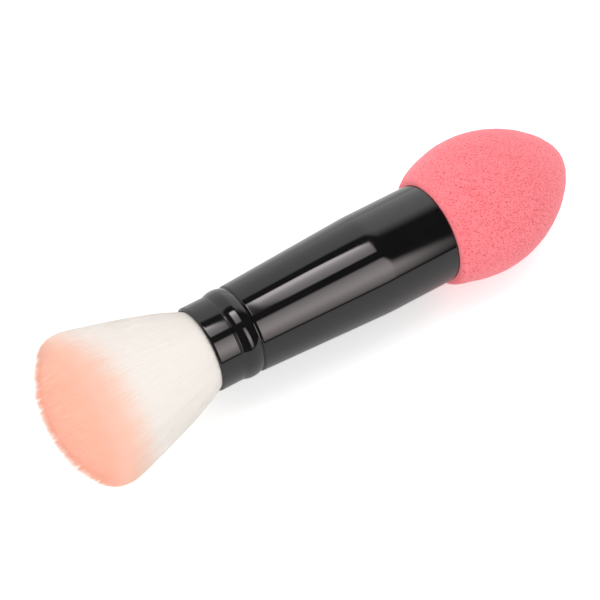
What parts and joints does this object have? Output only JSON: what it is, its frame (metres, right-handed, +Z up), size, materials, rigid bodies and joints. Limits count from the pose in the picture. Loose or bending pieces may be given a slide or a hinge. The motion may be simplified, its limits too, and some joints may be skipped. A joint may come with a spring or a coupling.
{
  "type": "double ended makeup brush",
  "caption": "Makeup brush with a flared round bristle tuft in a beaded ferrule on one end and a pointed foam sponge in a cup on the other end of a tapered handle.",
  "frame": {"origin": "centre of the bounding box, at its bottom: the brush lies on its side on the plane z = 0", "axes": "+X along the brush from the bristles to the sponge, +Y to the side that the sponge leans to, +Z up"},
  "size_m": [0.1366, 0.0354, 0.0343],
  "materials": {
    "bristle": "soft nylon filaments, white at the ferrule and dyed peach towards the tips",
    "resin": "clear amber glue",
    "ferrule_black": "gloss black enamel on aluminium",
    "handle_black": "gloss black",
    "foam_glue": "dried contact glue",
    "foam": "soft matte foam with fine open pores, coral pink"
  },
  "bodies": {
    "root": {"bristle_tuft": "bristle", "epoxy_plug": "resin", "ferrule": "ferrule_black", "handle_barrel": "handle_black", "sponge_adhesive": "foam_glue", "sponge": "foam"}
  },
  "joints": []
}
